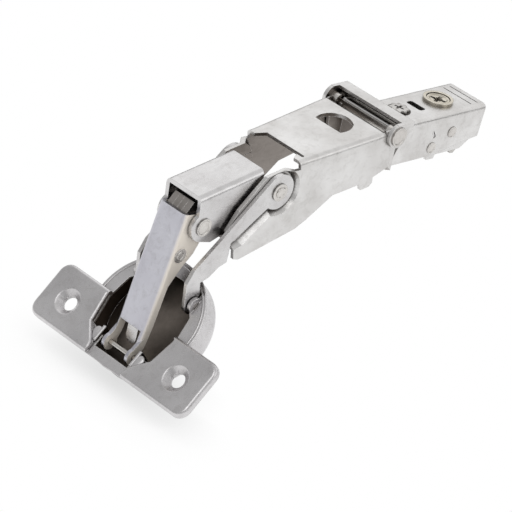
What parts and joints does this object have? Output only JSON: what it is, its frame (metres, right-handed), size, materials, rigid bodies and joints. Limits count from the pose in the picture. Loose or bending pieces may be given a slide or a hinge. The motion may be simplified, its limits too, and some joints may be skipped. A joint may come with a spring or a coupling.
{
  "type": "concealed hinge",
  "caption": "Concealed cup hinge with wide opening, modelled open: a drilled-in cup with screw wings, a linkage of stamped links, a leaning arm and a clip-on rear channel.",
  "frame": {"origin": "on the clamp screw's axis, in the plane where the rear part's side plates rest on the mounting plate", "axes": "+X along the rear channel towards its tail, +Y along the pivots, +Z away from the mounting plate"},
  "size_m": [0.1295, 0.064, 0.0696],
  "materials": {
    "plated_sheet": "nickel plated, satin",
    "cup_steel": "nickel plated, deep drawn",
    "link_steel": "nickel plated, stamped",
    "plate_steel": "nickel plated, barrelled",
    "pin_steel": "turned steel",
    "screw_steel": "nickel plated, machined",
    "cam_steel": "zinc plated"
  },
  "bodies": {
    "rear_part": {"rear_channel": "plated_sheet", "clip_base": "plated_sheet", "screw_collar": "plated_sheet", "cross_bracket": "plated_sheet", "tilt_rivets": "pin_steel", "rear_rivets": "pin_steel", "depth_slide": "plate_steel", "release_pin": "pin_steel"},
    "screw": {"clamp_screw": "screw_steel"},
    "cam": {"depth_cam": "cam_steel"},
    "lever": {"release_lever": "cam_steel"},
    "arm": {"hinge_arm": "plated_sheet", "blade_rivets": "pin_steel", "box_rivets": "pin_steel", "inner_fork": "plate_steel", "inner_pin": "pin_steel"},
    "blades": {"blade_left": "link_steel", "blade_right": "link_steel"},
    "cup": {"hinge_cup": "cup_steel", "front_cup_pin": "pin_steel", "rear_cup_pin": "pin_steel"},
    "channel": {"channel_link": "link_steel", "lobe_rivets": "pin_steel", "channel_rivet": "pin_steel", "closing_tongue": "plate_steel"},
    "box": {"box_link": "link_steel"},
    "inner": {"inner_plate_1": "plate_steel", "inner_plate_2": "plate_steel", "inner_plate_3": "plate_steel", "inner_plate_4": "plate_steel"}
  },
  "joints": [
    {"name": "side_tilt", "type": "hinge", "parent": "rear_part", "child": "arm", "pos_m": [-0.0308, 0, 0.0143], "axis": [0, 1, 0], "range_deg": [-1.2, 1.2]},
    {"name": "blade_swing", "type": "hinge", "parent": "arm", "child": "blades", "pos_m": [-0.07153, 0, 0.00339], "axis": [0, 1, 0], "range_deg": [0, 43.4]},
    {"name": "cup_swing", "type": "hinge", "parent": "blades", "child": "cup", "pos_m": [-0.09681, 0, -0.02599], "axis": [0, 1, 0], "range_deg": [0, 93.18]},
    {"name": "channel_swing", "type": "hinge", "parent": "cup", "child": "channel", "pos_m": [-0.11046, 0, -0.04225], "axis": [0, 1, 0], "range_deg": [-48.95, 0]},
    {"name": "box_swing", "type": "hinge", "parent": "channel", "child": "box", "pos_m": [-0.09535, 0, -0.00406], "axis": [0, 1, 0], "range_deg": [0, 51.12]},
    {"name": "inner_swing", "type": "hinge", "parent": "channel", "child": "inner", "pos_m": [-0.10046, 0, -0.0126], "axis": [0, 1, 0], "range_deg": [0, 42.45]},
    {"name": "screw_turn", "type": "hinge", "parent": "rear_part", "child": "screw", "pos_m": [0, 0, 0.0136], "axis": [0, 0, 1], "continuous": true},
    {"name": "cam_turn", "type": "hinge", "parent": "rear_part", "child": "cam", "pos_m": [-0.0166, 0, 0.0136], "axis": [0, 0, 1], "continuous": true},
    {"name": "release_press", "type": "hinge", "parent": "rear_part", "child": "lever", "pos_m": [0.0084, 0, 0.0054], "axis": [0, 1, 0], "range_deg": [0, 6], "stiffness_Nm_per_rad": 0.1}
  ],
  "couplings": [
    {"joint": "blade_swing", "follows": "cup_swing", "ratio": 0.4656},
    {"joint": "channel_swing", "follows": "cup_swing", "ratio": -0.5252},
    {"joint": "box_swing", "follows": "cup_swing", "ratio": 0.5485},
    {"joint": "inner_swing", "follows": "cup_swing", "ratio": 0.4554}
  ]
}
